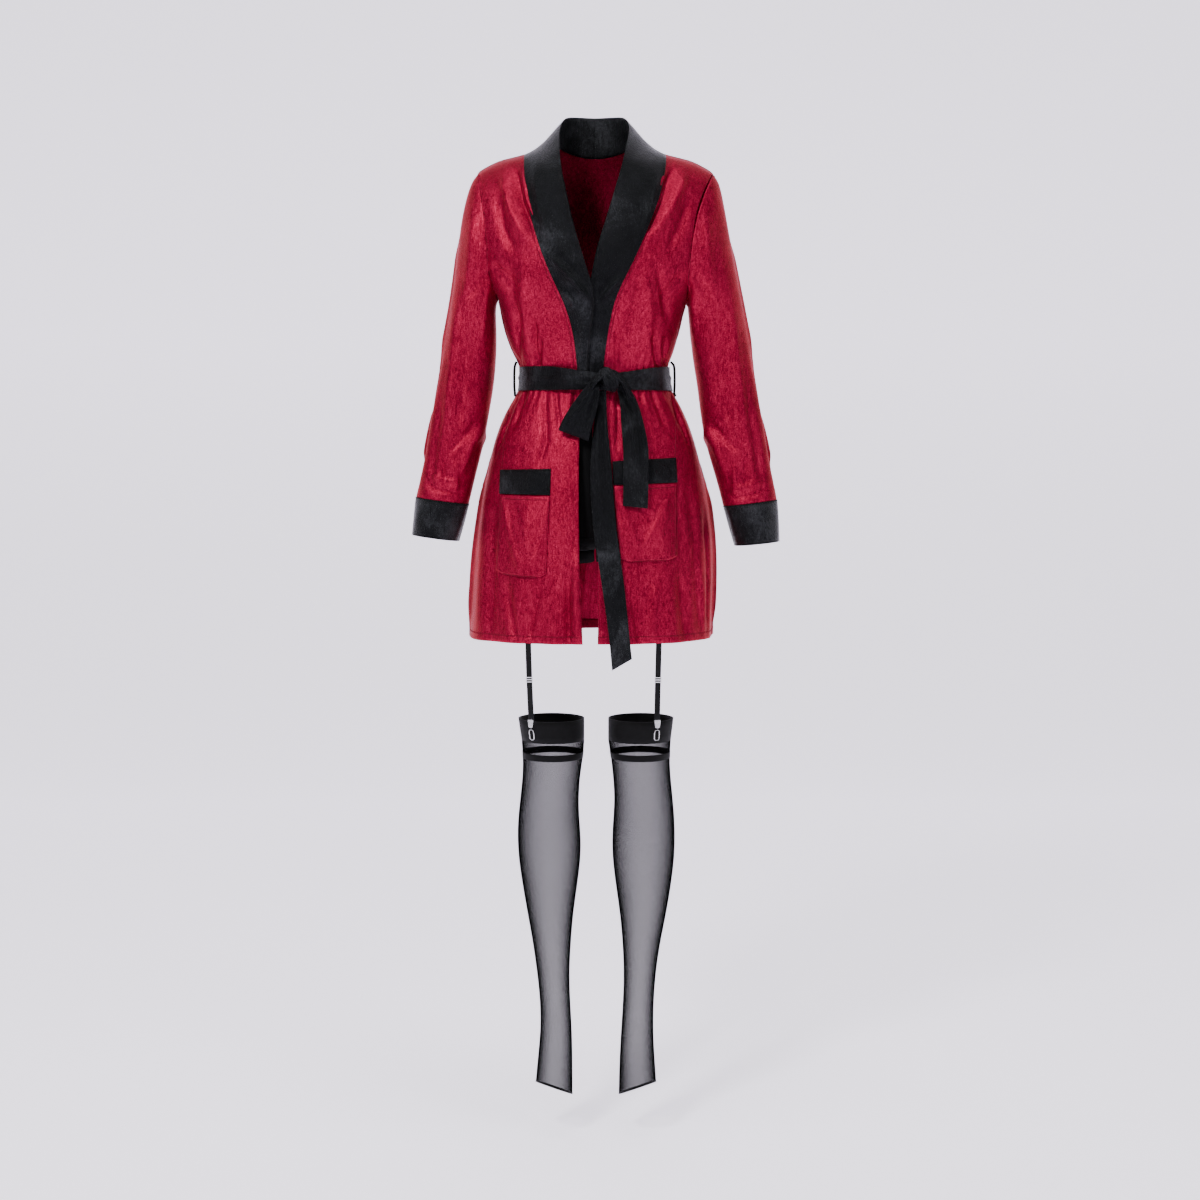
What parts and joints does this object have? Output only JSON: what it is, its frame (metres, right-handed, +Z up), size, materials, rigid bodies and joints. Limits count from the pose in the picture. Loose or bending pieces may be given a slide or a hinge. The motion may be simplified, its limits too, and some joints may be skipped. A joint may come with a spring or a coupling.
{
  "type": "shawl-collar robe costume set",
  "caption": "Worn costume set: short velour robe with shawl collar, tied sash and patch pockets over shorts, with garter straps holding sheer thigh-high stockings.",
  "frame": {"origin": "the base of the wearer's neck, between the shoulders", "axes": "+X to the viewer's right (the wearer's left), -Y out of the front, +Z up the body"},
  "size_m": [0.5585, 0.2826, 1.5101],
  "materials": {
    "velour_crimson": "crushed velour",
    "velour_black": "velour",
    "jersey_black": "matt jersey",
    "elastic_black": "woven elastic",
    "knit_black": "dense knit",
    "sheer_black": "sheer knit",
    "metal_silver": "polished",
    "rubber_black": "satin"
  },
  "bodies": {
    "root": {"robe_back": "velour_crimson", "robe_front_right": "velour_crimson", "robe_front_left": "velour_crimson", "sleeve_right": "velour_crimson", "sleeve_left": "velour_crimson", "pocket_bag_right": "velour_crimson", "pocket_bag_left": "velour_crimson", "cuff_right": "velour_black", "cuff_left": "velour_black", "collar_right": "velour_black", "collar_left": "velour_black", "pocket_band_right": "velour_black", "pocket_band_left": "velour_black", "sash_band": "velour_black", "sash_knot": "velour_black", "sash_loop": "velour_black", "sash_tail_long": "velour_black", "sash_tail_short": "velour_black", "shorts_right": "jersey_black", "belt_loop_right": "elastic_black", "garter_strap_upper_right": "elastic_black", "garter_strap_lower_right": "elastic_black", "garter_adjuster_right": "metal_silver", "garter_clip_plate_right": "metal_silver", "garter_clip_loop_right": "metal_silver", "garter_clip_flap_right": "rubber_black", "garter_clip_button_right": "rubber_black", "stocking_welt_right": "knit_black", "stocking_leg_right": "sheer_black", "shorts_left": "jersey_black", "belt_loop_left": "elastic_black", "garter_strap_upper_left": "elastic_black", "garter_strap_lower_left": "elastic_black", "garter_adjuster_left": "metal_silver", "garter_clip_plate_left": "metal_silver", "garter_clip_loop_left": "metal_silver", "garter_clip_flap_left": "rubber_black", "garter_clip_button_left": "rubber_black", "stocking_welt_left": "knit_black", "stocking_leg_left": "sheer_black"}
  },
  "joints": []
}
